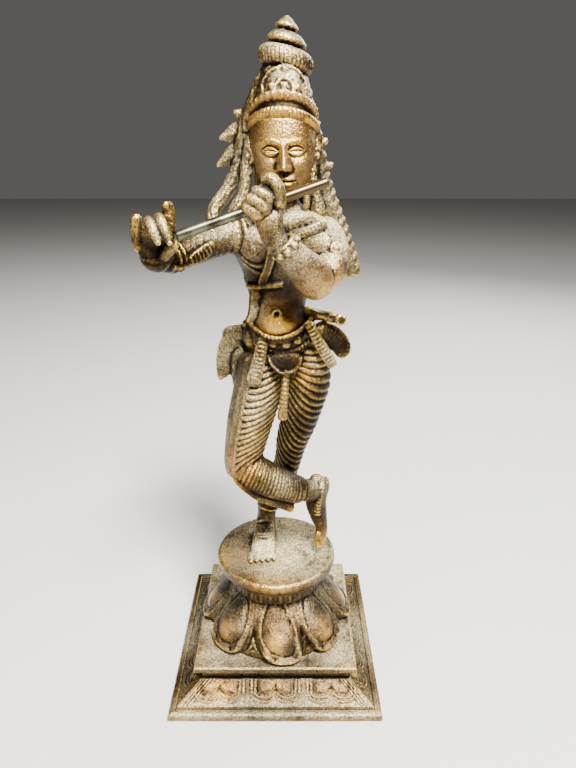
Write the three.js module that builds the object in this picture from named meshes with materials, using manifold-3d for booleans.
// A cast bronze figure of a flute player in the South Indian style. The figure stands crossed-legged
// on a round lotus seat over a square plinth, all one casting, and holds a plain rod as its flute.
// Units are millimetres, +Z is up, the figure faces -Y, and the origin is the middle of the underside.
import * as THREE from 'three';
import { mergeVertices } from 'three/addons/utils/BufferGeometryUtils.js';
import Module from 'manifold-3d';

const wasm = await Module();
wasm.setup();

// Square plinth, from the ground up
const PLINTH_SIDE = 75;
const LIP_HEIGHT = 3;
const LIP_ROUNDING = 1;
const SKIRT_FOOT_SIDE = 69.5;
const SKIRT_TOP_SIDE = 54;
const SKIRT_HEIGHT = 5.6;
const RECESS_SIDE = 52.5;
const RECESS_HEIGHT = 4.4;
const SLAB_SIDE = 57.8;
const SLAB_THICKNESS = 2.2;
const SKIRT_PETALS_PER_SIDE = 3;
const SKIRT_RELIEF = 0.5;

// Lotus seat, from the slab up
const LOTUS_HEIGHT = 18.4;
const LOTUS_NECK_RADIUS = 16.2;
const PETAL_COUNT = 8;
const PETAL_REACH = 28.4;
const PETAL_SIDES = 6;
const PETAL_GAP_SHARE = 0.1;
const BEAD_RING_RADIUS = 17.4;
const BEAD_RADIUS = 1.4;
const BEAD_COUNT = 24;
const BEAD_BAND_HEIGHT = 3;
const DISC_RADIUS = 22;
const DISC_THICKNESS = 8.4;
const DISC_RIM = 4.4;

// The figure, from the top of the seat to the crown's tip. Its pose and proportions are drawn in
// units, and this many of them make its height.
const FIGURE_HEIGHT = 175;
const UNIT_COUNT = 175;

// Flute: a plain rod that passes through the closed left hand
const FLUTE_DIAMETER = 2.8;
const FLUTE_LENGTH = 44.6;
const FLUTE_CLEARANCE = 0.3;

const X = [1, 0, 0];
const Y = [0, 1, 0];
const Z = [0, 0, 1];
const TURN = Math.PI * 2;

const skirtFoot = LIP_HEIGHT;
const skirtTop = skirtFoot + SKIRT_HEIGHT;
const slabBottom = skirtTop + RECESS_HEIGHT;
const slabTop = slabBottom + SLAB_THICKNESS;
const lotusTop = slabTop + LOTUS_HEIGHT;
const seatTop = lotusTop + BEAD_BAND_HEIGHT + DISC_THICKNESS;
const figureScale = FIGURE_HEIGHT / UNIT_COUNT;

// Turns a closed geometry into a solid. Triangles that collapse when vertices merge are dropped.
function solidOf(geometry) {
  const bare = new THREE.BufferGeometry().setAttribute('position', geometry.getAttribute('position'));
  bare.setIndex(geometry.index);
  const merged = mergeVertices(bare, 1e-4);
  const corners = [];
  for (let i = 0; i < merged.index.count; i += 3) {
    const [a, b, c] = [merged.index.getX(i), merged.index.getX(i + 1), merged.index.getX(i + 2)];
    if (a !== b && b !== c && c !== a) corners.push(a, b, c);
  }
  const vertProperties = merged.getAttribute('position').array;
  const triVerts = new Uint32Array(corners);
  return new wasm.Manifold(new wasm.Mesh({ numProp: 3, vertProperties, triVerts }));
}

function geometryOf(solid) {
  const mesh = solid.getMesh();
  const geometry = new THREE.BufferGeometry();
  geometry.setAttribute('position', new THREE.BufferAttribute(new Float32Array(mesh.vertProperties), 3));
  geometry.setIndex(new THREE.BufferAttribute(new Uint32Array(mesh.triVerts), 1));
  geometry.computeVertexNormals();
  return geometry;
}

const joined = (solids) => solids.reduce((whole, piece) => whole.add(piece));

// A form turned about +Z from a profile of [radius, height] pairs that starts and ends on the axis.
function turned(profile, sides) {
  const points = profile.map(([radius, height]) => new THREE.Vector2(radius, height));
  return new THREE.LatheGeometry(points, sides).rotateX(Math.PI / 2);
}

// A square stack from a profile of [side, height] pairs.
function squareStack(profile) {
  const points = profile.map(([side, height]) => [side / Math.SQRT2, height]);
  return turned([[0, profile[0][1]], ...points, [0, profile.at(-1)[1]]], 4).rotateZ(Math.PI / 4);
}

// The rows of a limb, rounded at both ends. Each is [share of the spine, share of the girth, extra].
// A band is [from, to, height], a raised belt between two shares of the spine.
function limbRows(rows, cap, domeRows, bands) {
  const dome = Array.from({ length: domeRows }, (_, i) => (Math.PI / 2) * (i / domeRows));
  const start = dome.map((angle) => [cap * (1 - Math.cos(angle)), Math.sin(angle), 0]);
  const clear = 0.35 / rows;
  const straight = Array.from({ length: rows + 1 }, (_, i) => [cap + (1 - 2 * cap) * (i / rows), 1, 0])
    .filter(([along]) => bands.every(([from, to]) => along < from - clear || along > to + clear));
  const belts = bands.flatMap(([from, to, height]) =>
    [[from, 1, 0], [from, 1, height], [to, 1, height], [to, 1, 0]]);
  const middle = [...straight, ...belts].sort((one, other) => one[0] - other[0]);
  return [...start, ...middle, ...start.map(([along, girth]) => [1 - along, girth, 0]).reverse()];
}

// A sphere stretched along a smooth spine. A station is [x, y, z, a, b]: a is the half width along
// `across`, b the half width square to it. relief(along, angle) adds to the girth, and slant(angle)
// shifts a row along the spine.
function limb(stations, options = {}) {
  const { across = X, sides = 8, rows = 4, domeRows = 1, bands = [], relief, slant } = options;
  const spine = new THREE.CatmullRomCurve3(stations.map(([x, y, z]) => new THREE.Vector3(x, y, z)));
  const girth = new THREE.CatmullRomCurve3(stations.map(([, , , a, b = a]) => new THREE.Vector3(a, b, 0)));
  const reference = new THREE.Vector3(...across);
  const cap = options.cap ?? Math.min(0.3, stations[0][3] / spine.getLength());
  const table = limbRows(rows, cap, domeRows, bands);
  const sphere = new THREE.SphereGeometry(1, sides, table.length - 1);
  const position = sphere.getAttribute('position');
  const point = new THREE.Vector3();
  for (let row = 0; row < table.length; row += 1) {
    const [along, fullness, step] = table[row];
    for (let side = 0; side <= sides; side += 1) {
      const angle = (TURN * (side % sides)) / sides;
      const shift = slant ? slant(angle) * fullness : 0;
      const at = Math.min(1, Math.max(0, along + shift));
      const tangent = spine.getTangent(at);
      const acrossHere = reference.clone().addScaledVector(tangent, -reference.dot(tangent)).normalize();
      const depthHere = acrossHere.clone().cross(tangent);
      const { x: a, y: b } = girth.getPoint(at);
      const extra = step + (relief ? relief(along, angle) : 0);
      point.copy(spine.getPoint(at));
      point.addScaledVector(acrossHere, (a + extra) * fullness * Math.cos(angle));
      point.addScaledVector(depthHere, (b + extra) * fullness * Math.sin(angle));
      position.setXYZ(row * (sides + 1) + side, point.x, point.y, point.z);
    }
  }
  return solidOf(sphere);
}

// A ball of three half widths, placed at its middle.
function ball([x, y, z], [a, b, c], sides, rows) {
  const sphere = new THREE.SphereGeometry(1, sides, rows).rotateX(Math.PI / 2);
  return solidOf(sphere.scale(a, b, c).translate(x, y, z));
}

// Plinth

function plinthBlock() {
  return solidOf(squareStack([
    [PLINTH_SIDE, 0],
    [PLINTH_SIDE, LIP_HEIGHT - LIP_ROUNDING],
    [PLINTH_SIDE - 2 * LIP_ROUNDING, LIP_HEIGHT],
    [SKIRT_FOOT_SIDE, LIP_HEIGHT],
    [SKIRT_TOP_SIDE, skirtTop],
    [RECESS_SIDE, skirtTop],
    [RECESS_SIDE, slabBottom],
    [SLAB_SIDE, slabBottom],
    [SLAB_SIDE, slabTop],
  ]));
}

// Broad two-lobed petals in low relief, three along each side of the sloping skirt.
function skirtPetals() {
  const slope = Math.atan2((SKIRT_FOOT_SIDE - SKIRT_TOP_SIDE) / 2, SKIRT_HEIGHT);
  const faceLength = SKIRT_HEIGHT / Math.cos(slope);
  const middle = (SKIRT_FOOT_SIDE + SKIRT_TOP_SIDE) / 4;
  const pitch = SKIRT_TOP_SIDE / SKIRT_PETALS_PER_SIDE;
  const petals = [];
  for (let face = 0; face < 4; face += 1) {
    for (let i = 0; i < SKIRT_PETALS_PER_SIDE; i += 1) {
      const petal = new THREE.SphereGeometry(1, 8, 3);
      petal.scale(pitch * 0.4, faceLength * 0.36, SKIRT_RELIEF * 2);
      petal.rotateX(Math.PI / 2 - slope);
      petal.translate((i - (SKIRT_PETALS_PER_SIDE - 1) / 2) * pitch, -middle, skirtFoot + SKIRT_HEIGHT / 2);
      petals.push(solidOf(petal.rotateZ((face * TURN) / 4)));
    }
  }
  return petals;
}

// Lotus seat

// A ring of petals swells out of the bell. Each row is [radius, share of height, petal swell, lift
// between petals], from the underside up, and the petals' tips stand a little above the slab.
function lotus() {
  const rows = [
    [LOTUS_NECK_RADIUS * 1.3, -0.05, 0.2, 0],
    [LOTUS_NECK_RADIUS * 1.42, 0.03, 0.9, 0.2],
    [LOTUS_NECK_RADIUS * 1.42, 0.13, 1, 0.12],
    [LOTUS_NECK_RADIUS * 1.34, 0.28, 1, 0.06],
    [LOTUS_NECK_RADIUS * 1.2, 0.52, 0.75, 0],
    [LOTUS_NECK_RADIUS * 1.04, 0.78, 0.3, 0],
    [LOTUS_NECK_RADIUS, 1.03, 0, 0],
  ];
  const swellReach = (PETAL_REACH - LOTUS_NECK_RADIUS * 1.42) / (1 - PETAL_GAP_SHARE);
  const profile = [[0, 0], ...rows.map((row, i) => [1, i]), [0, rows.length - 1]];
  const bell = turned(profile, PETAL_COUNT * PETAL_SIDES);
  const position = bell.getAttribute('position');
  for (let i = 0; i < position.count; i += 1) {
    const [share, height, swell, lift] = rows[Math.round(position.getZ(i))];
    const [x, y] = [position.getX(i), position.getY(i)];
    const angle = Math.atan2(y, x);
    const fullness = Math.sqrt(Math.abs(Math.cos((angle * PETAL_COUNT) / 2)));
    const radius = Math.hypot(x, y) < 0.5 ? 0 : share + swell * swellReach * (fullness - PETAL_GAP_SHARE);
    const level = radius === 0 ? height : height + lift * (1 - fullness);
    position.setXYZ(i, radius * Math.cos(angle), radius * Math.sin(angle), slabTop + LOTUS_HEIGHT * level);
  }
  return solidOf(bell);
}

// The beads under the disc stand side by side, so the band is a ring with a ridge for each bead.
function beadBand() {
  const height = BEAD_BAND_HEIGHT + 1;
  const band = new THREE.CylinderGeometry(BEAD_RING_RADIUS, BEAD_RING_RADIUS, height, BEAD_COUNT * 2);
  band.rotateX(Math.PI / 2);
  const position = band.getAttribute('position');
  for (let i = 0; i < position.count; i += 1) {
    const [x, y] = [position.getX(i), position.getY(i)];
    const angle = Math.atan2(y, x);
    const step = Math.round((angle / TURN) * BEAD_COUNT * 2);
    const ridge = (step % 2 ? BEAD_RADIUS : -BEAD_RADIUS) / 2;
    const radius = Math.hypot(x, y) < 1 ? 0 : BEAD_RING_RADIUS + ridge;
    position.setXY(i, radius * Math.cos(angle), radius * Math.sin(angle));
  }
  return solidOf(band.translate(0, 0, lotusTop + height / 2 - 0.2));
}

function seatDisc() {
  const under = seatTop - DISC_THICKNESS;
  return solidOf(turned([
    [0, under],
    [LOTUS_NECK_RADIUS, under],
    [DISC_RADIUS, seatTop - DISC_RIM * 0.85],
    [DISC_RADIUS, seatTop - DISC_RIM * 0.15],
    [DISC_RADIUS * 0.975, seatTop],
    [0, seatTop],
  ], 28));
}

// Figure. Places are in the figure's units, from the middle of the seat's top.

const CROWN_FOOT = new THREE.Vector3(3, 0.8, 146);
const CROWN_TIP = new THREE.Vector3(4.3, 2.6, UNIT_COUNT);
const FLUTE_BLOWN_END = new THREE.Vector3(16.4, -14, 132.8);
const FLUTE_FAR_END = new THREE.Vector3(-26, -27.6, 119.1);

// The swelling of a soft form: highest at one share of the spine and one angle, and fading round it.
function swelling(along, angle, [alongMiddle, alongWidth, angleMiddle, angleWidth, height]) {
  const alongShare = (along - alongMiddle) / alongWidth;
  const angleShare = (angle - angleMiddle) / angleWidth;
  return height * Math.exp(-(alongShare ** 2) - angleShare ** 2);
}

const BELLY = [0.385, 0.07, Math.PI / 2, 0.85, 4];
const RIGHT_CHEST = [0.7, 0.09, 2.2, 0.6, 2.4];
const LEFT_CHEST = [0.73, 0.09, 1.05, 0.6, 2.4];
const HIP_BELT = [0.235, 0.28, 2];
const BEAD_BELT = [0.305, 0.335, 1.7];
const CHEST_BAND = [0.525, 0.55, 1];

function torso() {
  return [
    limb([
      [3.2, 1.5, 66, 10, 8], [3.2, 1.4, 72.6, 12.8, 9.3], [3, 1.2, 79.2, 12.4, 9.4],
      [2.4, 0.6, 85.8, 9.8, 8.4], [1.4, 0, 92.4, 8.5, 7.2], [1.4, 0, 99, 9.8, 7.1],
      [2, 0.1, 105.6, 12.4, 7.4], [2.6, 0.6, 112.2, 15.2, 8], [4.2, 1, 118.8, 12.6, 7],
      [4, 1, 125.4, 5, 5], [3.7, 0.4, 132, 4.6, 4.8],
    ], {
      sides: 12,
      rows: 13,
      bands: [HIP_BELT, BEAD_BELT, CHEST_BAND],
      relief: (along, angle) => swelling(along, angle, BELLY) + swelling(along, angle, RIGHT_CHEST)
        + swelling(along, angle, LEFT_CHEST),
      slant: (angle) => 0.03 * Math.cos(angle) - 0.02 * Math.sin(angle),
    }),
  ];
}

function head() {
  return [
    limb([
      [3.9, -3.4, 128.4, 4, 4], [3.6, -2.4, 132, 6.6, 6.6], [3.2, -0.9, 138, 9.1, 8.6],
      [3, -0.2, 144, 9.6, 9.2], [3.1, 0.6, 150, 9.1, 9],
    ], { sides: 12, rows: 5, cap: 0.06 }),
    limb([[3.1, -8.6, 143.6, 0.9, 1.2], [3.3, -10.4, 136.8, 1.8, 1.5]], { sides: 6, rows: 2 }),
    ball([3.4, -8.2, 133.5], [3, 1.6, 0.8], 6, 3),
    ball([3.5, -7.6, 131.9], [2.5, 1.8, 0.9], 6, 3),
    ball([3.7, -5.4, 129.6], [3, 2.8, 2], 6, 3),
    ...[-1, 1].flatMap((side) => [
      ball([3.1 + side * 4.3, -8, 141.6], [2.3, 1.4, 1.1], 6, 3),
      limb([[3.1 + side * 1.3, -9, 144.2, 0.8, 0.7], [3.1 + side * 4.2, -8.7, 145.8, 0.8, 0.8],
        [3.1 + side * 7.4, -6.4, 144.4, 0.8, 0.7]], { across: Z, sides: 4, rows: 1 }),
    ]),
  ];
}

// The brow band and the band above it arch up at the front, and the rings above them lie square to the
// crown. Each row is [radius, height, slope], and the slope lifts the front and lowers the back.
function crown() {
  const height = CROWN_TIP.distanceTo(CROWN_FOOT);
  const rows = [
    [8.6, 0, 0.34], [10.3, 0.2, 0.34], [10.5, 3, 0.36], [9, 3.2, 0.42], [9, 4.4, 0.52], [10.1, 4.6, 0.54],
    [9.9, 6.6, 0.54], [8.8, 7, 0.5], [7.4, 12.4, 0.1], [6.5, 15.2, 0], [7.8, 16, 0], [8.3, 17.6, 0],
    [7.6, 20, 0],
    [5.2, 21.2, 0], [5.7, 22.2, 0], [4.3, 24.2, 0], [3.7, 24.4, 0], [4.1, 25.4, 0], [1.5, height - 0.8, 0],
  ];
  const form = turned([[0, 0], ...rows.map((row, i) => [1, i + 1]), [0, rows.length + 1]], 12);
  const position = form.getAttribute('position');
  for (let i = 0; i < position.count; i += 1) {
    const step = Math.round(position.getZ(i));
    const [radius, level, slope] = rows[step - 1] ?? [0, step === 0 ? 0 : height, 0];
    const [x, y] = [position.getX(i) * radius, position.getY(i) * radius];
    position.setXYZ(i, x, y, level - slope * y);
  }
  const facing = limb([[0.2, -7.6, 6, 5, 3], [0, -6.6, 11, 5, 3], [0, -5, 16, 1.6, 2]],
    { sides: 6, rows: 2 });
  const axis = CROWN_TIP.clone().sub(CROWN_FOOT).normalize();
  const lean = new THREE.Quaternion().setFromUnitVectors(new THREE.Vector3(...Z), axis);
  return [solidOf(form.applyQuaternion(lean).translate(...CROWN_FOOT)), facing.translate(...CROWN_FOOT)];
}

function hair() {
  return [
    limb([[3.2, 4, 154, 6, 4], [3.4, 7, 144, 9, 5.5], [3.6, 8.4, 134, 9.6, 5], [3.9, 7.4, 124, 9, 4],
      [4, 7.2, 115, 6.5, 3]], { sides: 7, rows: 4 }),
    limb([[-5, 3, 155, 1.6, 2.4], [-8.2, 3.6, 146, 2.3, 3], [-10.8, 3.6, 136, 2.2, 2.8],
      [-14.2, 3, 129.6, 2.1, 2.5], [-18.2, 1.2, 124, 2, 2.4], [-18.6, -1, 119, 2.2, 2.2]],
      { sides: 6, rows: 7 }),
    limb([[-6.6, 1.6, 146, 1.6, 2.2], [-7.8, 0.4, 136.5, 1.8, 2], [-8.8, -0.6, 129, 1.7, 1.9],
      [-11.4, -1.4, 123.4, 2.4, 2.2], [-12, -1.6, 119, 2.6, 2.4]], { sides: 6, rows: 5 }),
    limb([[11.4, 3, 151, 2, 3], [13.2, 3, 142, 2.5, 3.2], [14.4, 3, 133, 2.9, 3], [17.4, 3, 124, 3.4, 2.8],
      [21.2, 3.4, 115, 3.3, 2.4], [24.6, 3.6, 107, 2.8, 2], [25.8, 3.6, 103, 2.1, 1.6]],
      { sides: 8, rows: 7 }),
    limb([[11.6, 0.6, 141, 1.6, 1.8], [12, -0.8, 132, 1.7, 1.8], [14, -1.6, 122, 2.4, 2]],
      { sides: 6, rows: 3 }),
    ...[[-8.4, 150, -11.6], [-10.6, 143.6, -15.6], [-11.4, 138, -16.4]].map(([x, z, tip]) =>
      limb([[x, 3.4, z, 2.6, 1.6], [tip, 3, z + 0.3, 1.2, 0.9]], { across: Z, sides: 5, rows: 2 })),
    ...[[13.4, 141.6, 16.2], [15, 135.4, 17.8]].map(([x, z, tip]) =>
      limb([[x, 2.4, z, 1.7, 1.6], [tip, 2, z + 0.2, 1.2, 1.2]], { across: Z, sides: 5, rows: 1 })),
  ];
}

const finger = (stations, rows = 3) => limb(stations, { across: X, sides: 5, rows });

function rightArm() {
  return [
    limb([[-5.5, 0.8, 117.2, 5, 5.2], [-12, -2, 116.8, 5.1, 5], [-19, -7.6, 115, 4.8, 4.6],
      [-25.4, -14, 113.2, 4.3, 4.3], [-28.8, -19.4, 112.2, 3.8, 3.6], [-30.6, -24, 111.8, 3.1, 3.1]],
    { across: Z, sides: 8, rows: 6 }),
    limb([[-31.2, -23.4, 107.4, 3.6, 3], [-31.7, -25.2, 113, 4.9, 3.2], [-31.2, -26.2, 118.6, 4.7, 2.2],
      [-30.8, -26.4, 121.4, 4, 1.6]], { sides: 8, rows: 4 }),
    finger([[-34.6, -26.2, 116, 1.4, 1.5], [-35.4, -26.2, 121, 1.4, 1.4], [-35, -27, 125, 1.2, 1.3]]),
    finger([[-28, -26.2, 118, 1.5, 1.5], [-27.4, -25.6, 124, 1.4, 1.4], [-27, -26.4, 128.7, 1.2, 1.3]]),
    finger([[-32.4, -26.4, 118.6, 1.4], [-32.2, -28.4, 122.8, 1.4], [-30.4, -30.8, 118.4, 1.3]], 4),
    finger([[-29.8, -26.4, 119, 1.4], [-29.3, -28.8, 123.6, 1.4], [-27.3, -31.2, 118.8, 1.3]], 4),
    finger([[-28.4, -26, 111.6, 2], [-26, -27.4, 114.6, 1.8], [-25.2, -28.4, 117.2, 1.5]], 2),
  ];
}

function leftArm() {
  return [
    limb([[14, 0.8, 118.6, 5, 5], [17.8, -2.4, 114.4, 5.2, 5.2], [17, -7.8, 109, 5.6, 5.4],
      [14.8, -12.6, 104.2, 4.8, 4.8]], { sides: 9, rows: 4 }),
    limb([[14.8, -12.8, 101.2, 4.4, 4.6], [11.4, -16.2, 106.8, 5.8, 5.4], [6.6, -19.8, 112.4, 4.6, 4.4],
      [3, -21.4, 117, 3.6, 3.2]], { sides: 9, rows: 5, cap: 0.14, bands: [[0.72, 0.84, 0.8]] }),
    limb([[3, -21.2, 116.4, 3.4, 2.7], [0.6, -20.9, 121.2, 3.6, 2.8], [-1, -20.2, 125.6, 4.3, 3],
      [-1.2, -19.8, 129.4, 3.4, 2.6]], { sides: 8, rows: 4 }),
    finger([[2.2, -21, 126.6, 1.7], [1.4, -20.8, 131.4, 1.7], [-2.6, -19, 133.6, 1.4]]),
    ...[[2, 127.6, -5.2, 131.2], [0.8, 125, -7, 129], [-0.6, 122.6, -7.4, 126.4]].map(
      ([x, z, tipX, tipZ]) => limb([[x, -21.4, z, 1.5],
        [(x + tipX) / 2, -22.8, (z + tipZ) / 2 + 0.2, 1.6], [tipX, -21.2, tipZ, 1.3]],
      { across: Z, sides: 5, rows: 2 })),
    finger([[-1, -18.2, 122.8, 1.8], [-6, -19, 124.2, 1.4]], 1),
  ];
}

// Ribs of gathered cloth: every second row stands proud, and the rows between lie in the creases.
// Along the line at `borderAngle` a plain border hides the ribs down to a share of the leg.
function pleated(stations, pleats, depth, options) {
  const { cap = 0.08, borderAngle = 0, borderTo = 0, borderHeight = 1.3, ...rest } = options;
  const rows = pleats * 2;
  const relief = (along, angle) => {
    if (along < borderTo && Math.cos(angle - borderAngle) > 0.98) return borderHeight;
    return Math.round(((along - cap) / (1 - 2 * cap)) * rows) % 2 ? depth : -depth;
  };
  return limb(stations, { sides: 8, rows, cap, relief, ...rest });
}

function crossedLeg() {
  return [
    pleated([[-3, 0.4, 77, 8, 8.4], [-4.8, -1.4, 69, 8.2, 8.4], [-7.8, -3.6, 58, 7.7, 8],
      [-10, -5.6, 48, 6.8, 7.2], [-11.2, -7, 41, 6, 6.4], [-10.8, -7.6, 36, 5, 5.2]], 10, 0.4,
    { borderAngle: Math.PI, borderTo: 1, slant: (angle) => 0.06 * Math.cos(angle) }),
    pleated([[-12, -7.4, 41.6, 5.2, 5.6], [-7.6, -8.4, 38, 6.2, 6.3], [-1, -8.2, 34, 6, 6],
      [5.4, -6.4, 30, 5.2, 5.2], [10.2, -3.8, 28, 4.4, 4.4]], 7, 0.35,
    { across: Z, borderAngle: Math.PI, borderTo: 0.7, borderHeight: 1 }),
    limb([[9, -4.4, 28, 4.2, 4.2], [12.4, -2.4, 27, 4, 4.2], [15, -0.6, 26, 3.6, 3.4]],
      { across: Z, sides: 8, rows: 2, bands: [[0.5, 0.66, 0.7]] }),
    limb([[15.4, 0.6, 30, 2.6, 2.8], [15.6, 0, 23, 3.4, 3.8], [16, -0.4, 14, 2.8, 3.2],
      [16.2, -0.8, 7, 2.8, 2.6], [15.9, -0.8, -1, 2, 1.8]], { sides: 8, rows: 5 }),
    ball([14.2, -2.8, 5.2], [1.6, 1.5, 2.6], 6, 4),
    limb([[-3, -9.4, 27.4, 1.2, 1.6], [1.4, -9.2, 25, 1.6, 1.4], [4.8, -8.6, 21.6, 1, 1]],
      { across: [1, 0, 1], sides: 6, rows: 3 }),
  ];
}

function standingLeg() {
  return [
    pleated([[10.2, 1, 77, 7.6, 8.4], [11, 0.8, 69, 7.8, 8.2], [10, 1, 62, 7.2, 7.8],
      [8.2, 1.6, 53, 6.2, 7], [6, 2.8, 45, 5.4, 6.2], [4.6, 3.8, 37, 4.6, 5.4], [2.4, 5, 29, 4.5, 4.8], [-1.8, 6.6, 21, 4, 4.2]],
    11, 0.4, { borderTo: 0.4, slant: (angle) => -0.045 * Math.cos(angle) }),
    limb([[1.8, 5.2, 29, 3.8, 4], [-2.4, 6.8, 20, 3.9, 4], [-3.8, 8, 10, 3.6, 3.8], [-4.4, 8.4, 1, 4, 4.2]],
      { sides: 8, rows: 4, cap: 0.1, bands: [[0.42, 0.47, 0.6]] }),
    limb([[-4.8, 13.6, 0.6, 4.2, 2.2], [-4.8, 8, 0.8, 5, 2.8], [-4.8, 0, 0.6, 5.3, 2.6],
      [-4.7, -7, 0.2, 5.5, 1.9]],
      { sides: 8, rows: 3 }),
    ...Array.from({ length: 5 }, (_, i) => {
      const [x, reach, size] = [-9 + i * 2.15, -9.2 + i * 0.35, i === 0 ? 1.4 : 1.2];
      return limb([[x, -5, 0.8, size], [x, reach, 0.6, size]], { sides: 5, rows: 1 });
    }),
  ];
}

// Belts, apron, straps, tassel and the loose ends of the sash
function hipDress() {
  return [
    limb([[-0.6, -8.4, 81.6, 1.8, 1.6], [1.6, -9.8, 77.4, 2.4, 1.6], [6.2, -9.6, 77.4, 2.4, 1.6],
      [9.2, -8.2, 81.4, 1.8, 1.6]], { across: Z, sides: 6, rows: 4 }),
    limb([[3, -8.6, 76, 1.5, 1.5], [2.9, -10, 66, 1.5, 1.5], [2.9, -9.8, 59.2, 2, 1.7]],
      { sides: 6, rows: 3 }),
    limb([[-3.2, -8.6, 85, 1.7, 1.2], [-5.4, -10.2, 78, 2.2, 1.2], [-7.2, -10.6, 71.2, 2.4, 1.1]],
      { sides: 6, rows: 2 }),
    limb([[10.4, -7.2, 88.6, 2, 1.4], [14.8, -7.4, 82, 2.2, 1.4], [18.6, -6, 74.6, 2, 1.1]],
      { sides: 6, rows: 3 }),
    limb([[-5, 0.4, 85.6, 3.4, 3], [-11, 1.4, 84.4, 3, 2], [-17.4, 2.4, 83, 2.4, 1]],
      { across: Z, sides: 6, rows: 2 }),
    limb([[-9.6, 1.6, 83, 3, 2], [-14.8, 2.6, 77.4, 4.8, 1.4], [-18, 3, 68.8, 1.6, 0.9]],
      { sides: 6, rows: 4 }),
    limb([[-10.6, 1, 80, 3.4, 3], [-12.2, 2, 72, 3, 3], [-12.6, 3, 64, 2, 2]], { sides: 6, rows: 3 }),
    limb([[9, -1, 92.4, 2.6, 2.6], [15.4, -0.8, 90.8, 1.8, 1.8], [22, -0.4, 89.2, 2.1, 1.8]],
      { across: Z, sides: 6, rows: 4 }),
    limb([[12.6, 0.6, 86, 3.4, 3], [17.8, 1.4, 84.4, 3.6, 1.6], [22, 2, 80, 3.4, 1.2],
      [22.8, 2, 75.6, 2.6, 1]],
      { across: [0.6, 0, 0.8], sides: 6, rows: 4 }),
    limb([[-6.6, -0.4, 101, 1.4, 2.6], [-7.2, 0.4, 94, 1.5, 2.8], [-8.4, 1, 87, 2, 3]],
      { sides: 6, rows: 2 }),
  ];
}

// The thread across the chest, the tassels on the left shoulder and the right nipple
function jewellery() {
  return [
    limb([[10, -8.2, 118, 1.1], [4.6, -9.4, 110, 1.1], [0.4, -7.4, 102, 1.1]], { sides: 4, rows: 3 }),
    limb([[4, -6.4, 118.4, 1.4, 1.4], [9.8, -7, 119.2, 1.4, 1.4], [16.6, -4.6, 120.6, 1.8, 1.4]],
      { across: Z, sides: 5, rows: 2 }),
    ball([-6.6, -7.4, 112.4], [1.2, 2, 1.2], 5, 3),
  ];
}

function figure() {
  const parts = [
    ...torso(), ...head(), ...crown(), ...hair(), ...rightArm(), ...leftArm(), ...crossedLeg(),
    ...standingLeg(),
    ...hipDress(), ...jewellery(),
  ];
  return joined(parts).scale(figureScale).translate(0, 0, seatTop);
}

// Flute. The rod is centred between its two drawn ends, and keeps its own length and diameter.

function rod(diameter, length) {
  const place = (end) => end.clone().multiplyScalar(figureScale).add(new THREE.Vector3(0, 0, seatTop));
  const [blown, far] = [place(FLUTE_BLOWN_END), place(FLUTE_FAR_END)];
  const direction = blown.clone().sub(far).normalize();
  const turn = new THREE.Quaternion().setFromUnitVectors(new THREE.Vector3(...Y), direction);
  const middle = blown.add(far).multiplyScalar(0.5);
  return new THREE.CylinderGeometry(diameter / 2, diameter / 2, length, 12, 1)
    .applyQuaternion(turn).translate(...middle);
}

const bore = solidOf(rod(FLUTE_DIAMETER + 2 * FLUTE_CLEARANCE, FLUTE_LENGTH + 2 * FLUTE_CLEARANCE));
const statue = joined([
  plinthBlock(), ...skirtPetals(), lotus(), beadBand(), seatDisc(), figure(),
]).subtract(bore);

const bronze = new THREE.MeshStandardMaterial({ color: 0x6f5a41, roughness: 0.48, metalness: 0.9 });
const rodBronze = new THREE.MeshStandardMaterial({ color: 0x6b6a58, roughness: 0.38, metalness: 0.9 });

const statueMesh = new THREE.Mesh(geometryOf(statue), bronze);
statueMesh.name = 'statue';
const fluteMesh = new THREE.Mesh(rod(FLUTE_DIAMETER, FLUTE_LENGTH), rodBronze);
fluteMesh.name = 'flute';

const part = new THREE.Group();
part.add(statueMesh, fluteMesh);

export default part;
